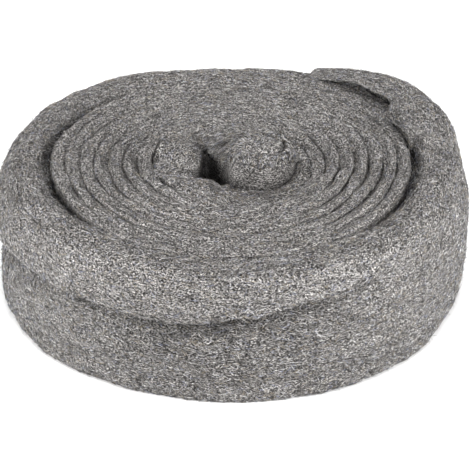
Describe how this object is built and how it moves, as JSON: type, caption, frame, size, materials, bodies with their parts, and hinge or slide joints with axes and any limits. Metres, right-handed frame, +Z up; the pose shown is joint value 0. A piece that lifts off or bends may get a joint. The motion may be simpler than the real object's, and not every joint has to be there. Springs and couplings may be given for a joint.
{
  "type": "steel wool roll",
  "caption": "Roll of steel wool ribbon lying flat on its edge, with close turns round a crumpled core and a loose, creased outer length whose end is folded in over the top.",
  "frame": {"origin": "on the surface that the roll lies on, under the middle of its outline seen from above", "axes": "+Z up along the roll's winding axis; -Y towards the front, where the long crease is; the ribbon's outer end is at the back right, between +X and +Y"},
  "size_m": [0.321, 0.3091, 0.1119],
  "materials": {
    "steel_wool": "matted fine steel fibre, mid grey with small bright glints"
  },
  "bodies": {
    "root": {"wound_ribbon": "steel_wool"}
  },
  "joints": []
}
